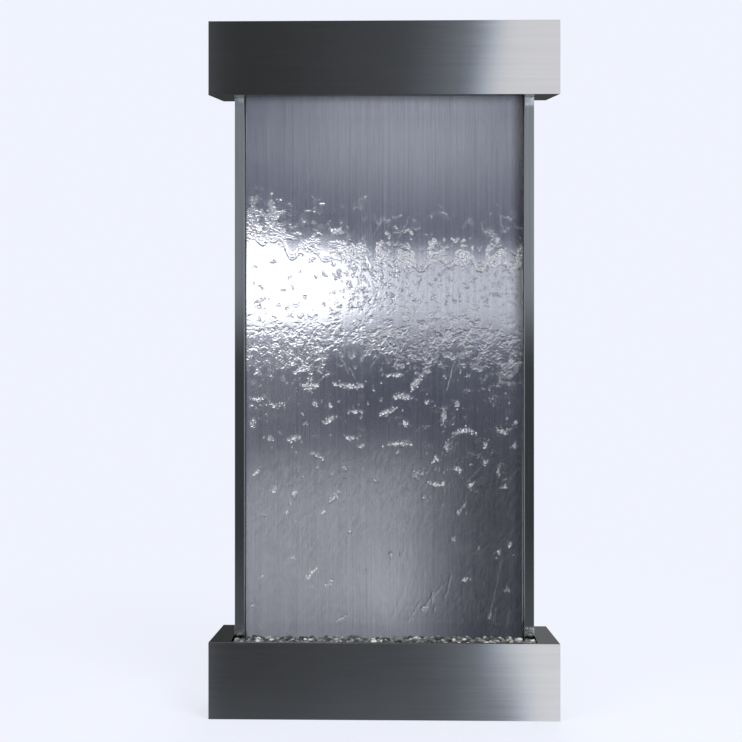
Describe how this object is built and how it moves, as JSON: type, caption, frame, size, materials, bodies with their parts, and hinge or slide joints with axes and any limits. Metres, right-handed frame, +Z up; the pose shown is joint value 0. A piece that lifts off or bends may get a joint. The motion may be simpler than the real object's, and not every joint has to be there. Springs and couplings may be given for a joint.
{
  "type": "glass water wall",
  "caption": "Tall framed water wall: pumped water leaves a drilled pipe under a box hood, runs down a steel-backed glass panel and falls through pebbles into a box tray.",
  "frame": {"origin": "bottom centre: middle of the tray's base in X and Y, on the floor", "axes": "+Z up, the panel faces -Y, the wall is on the +Y side, +X is to the right of someone facing the panel"},
  "size_m": [0.889, 0.178, 1.767],
  "materials": {
    "sheet_steel": "stainless sheet, long grain brushed along its length",
    "rail_steel": "stainless sheet, grain brushed along the rail",
    "satin_backing": "stainless sheet with fine upright satin grain",
    "clear_glass": "clear toughened float glass",
    "water": "running water",
    "black_rubber": "black moulded rubber",
    "inner_steel": "stainless sheet, mill finish",
    "screw_steel": "bright stainless",
    "dark_plastic": "dark moulded plastic",
    "white_pipe": "white pressure pipe",
    "clear_hose": "clear soft hose",
    "pump_plastic": "black moulded plastic with a fine spark texture",
    "dial_plastic": "blue moulded plastic",
    "magnet": "sintered magnet",
    "ceramic_pin": "ground ceramic",
    "lamp_metal": "dark anodised",
    "lamp_glass": "pressed clear glass",
    "pebble_stone": "water-worn river pebbles in greys, white and black, wet"
  },
  "bodies": {
    "frame": {"tray_front": "sheet_steel", "tray_end_left": "sheet_steel", "tray_end_right": "sheet_steel", "tray_floor": "sheet_steel", "tray_back": "sheet_steel", "tray_rim": "sheet_steel", "side_rail_left": "rail_steel", "side_rail_right": "rail_steel", "backing_plate": "satin_backing", "glass_panel": "clear_glass", "water_film": "water", "glazing_seal_left": "black_rubber", "glazing_seal_right": "black_rubber", "setting_blocks": "black_rubber", "lead_grommet": "black_rubber", "pump_feet": "black_rubber", "glazing_bead_left": "inner_steel", "glazing_bead_right": "inner_steel", "top_beam": "inner_steel", "bottom_sill": "inner_steel", "wall_brackets": "inner_steel", "pebble_bench": "inner_steel", "glazing_bead_screws": "screw_steel", "frame_screws": "screw_steel", "wall_bracket_bolts": "screw_steel", "pipe_saddle_screws": "screw_steel", "hose_clamps": "screw_steel", "rail_shoes": "dark_plastic", "rail_caps": "dark_plastic", "hose_clips": "dark_plastic", "distribution_pipe_left": "white_pipe", "distribution_pipe_right": "white_pipe", "pipe_end_caps": "white_pipe", "feed_tee": "white_pipe", "feed_elbow": "white_pipe", "pipe_saddles": "white_pipe", "riser_hose": "clear_hose", "pump_motor_housing": "pump_plastic", "pump_volute": "pump_plastic", "pump_intake_strainer": "pump_plastic", "impeller_shaft": "ceramic_pin", "pebble_bed": "pebble_stone"},
    "hood": {"hood_shell": "sheet_steel", "hood_locating_tabs": "inner_steel", "lamp_bar": "inner_steel", "lamp_bar_straps": "inner_steel", "lamp_yokes": "inner_steel", "lamp_screws": "screw_steel"},
    "lamp_left": {"lamp_left_housing": "lamp_metal", "lamp_left_bezel": "lamp_metal", "lamp_left_lens": "lamp_glass"},
    "lamp_right": {"lamp_right_housing": "lamp_metal", "lamp_right_bezel": "lamp_metal", "lamp_right_lens": "lamp_glass"},
    "pump_rotor": {"impeller": "dial_plastic", "rotor_magnet": "magnet"},
    "regulator": {"flow_regulator_dial": "dial_plastic"}
  },
  "joints": [
    {"name": "hood_lift", "type": "slide", "parent": "frame", "child": "hood", "axis": [0, 0, 1], "range_m": [0, 0.26]},
    {"name": "lamp_left_tilt", "type": "hinge", "parent": "hood", "child": "lamp_left", "pos_m": [-0.19, -0.046, 1.65], "axis": [1, 0, 0], "range_deg": [-15, 35]},
    {"name": "lamp_right_tilt", "type": "hinge", "parent": "hood", "child": "lamp_right", "pos_m": [0.19, -0.046, 1.65], "axis": [1, 0, 0], "range_deg": [-15, 35]},
    {"name": "impeller_spin", "type": "hinge", "parent": "frame", "child": "pump_rotor", "pos_m": [0, 0.014, 0.034], "axis": [1, 0, 0], "continuous": true},
    {"name": "regulator_turn", "type": "hinge", "parent": "frame", "child": "regulator", "pos_m": [0.0327, 0.014, 0.034], "axis": [1, 0, 0], "range_deg": [0, 180]}
  ]
}
